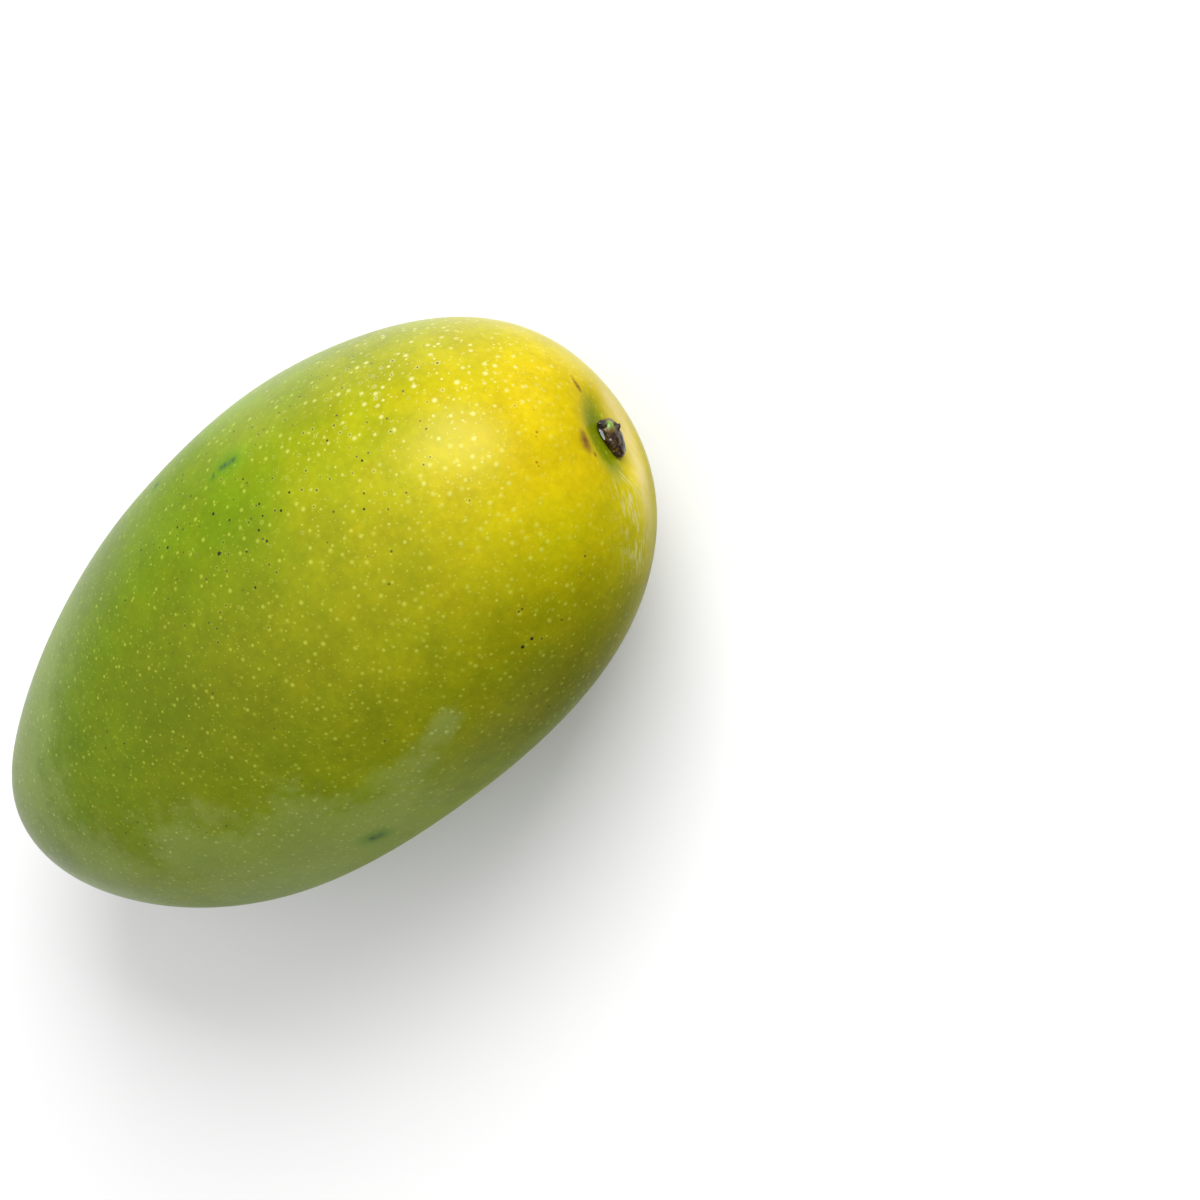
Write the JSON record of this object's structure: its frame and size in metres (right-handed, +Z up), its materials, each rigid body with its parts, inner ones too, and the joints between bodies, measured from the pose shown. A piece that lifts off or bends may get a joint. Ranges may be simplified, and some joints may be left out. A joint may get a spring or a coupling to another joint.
{
  "type": "mango",
  "caption": "Whole mango lying on its side, a long oval fruit with a broad stem end, a shallow stem hollow and a short cut stub of stalk.",
  "frame": {"origin": "on the surface that the fruit rests on, under the middle of its bounding box", "axes": "+X towards the stem end, along the fruit's length; +Y towards its evenly curved back; +Z up"},
  "size_m": [0.1406, 0.0796, 0.0732],
  "materials": {
    "skin": "waxy yellow-green skin with pale dots",
    "stalk": "dry dark stalk with set sap"
  },
  "bodies": {
    "root": {"fruit": "skin", "stem": "stalk"}
  },
  "joints": []
}
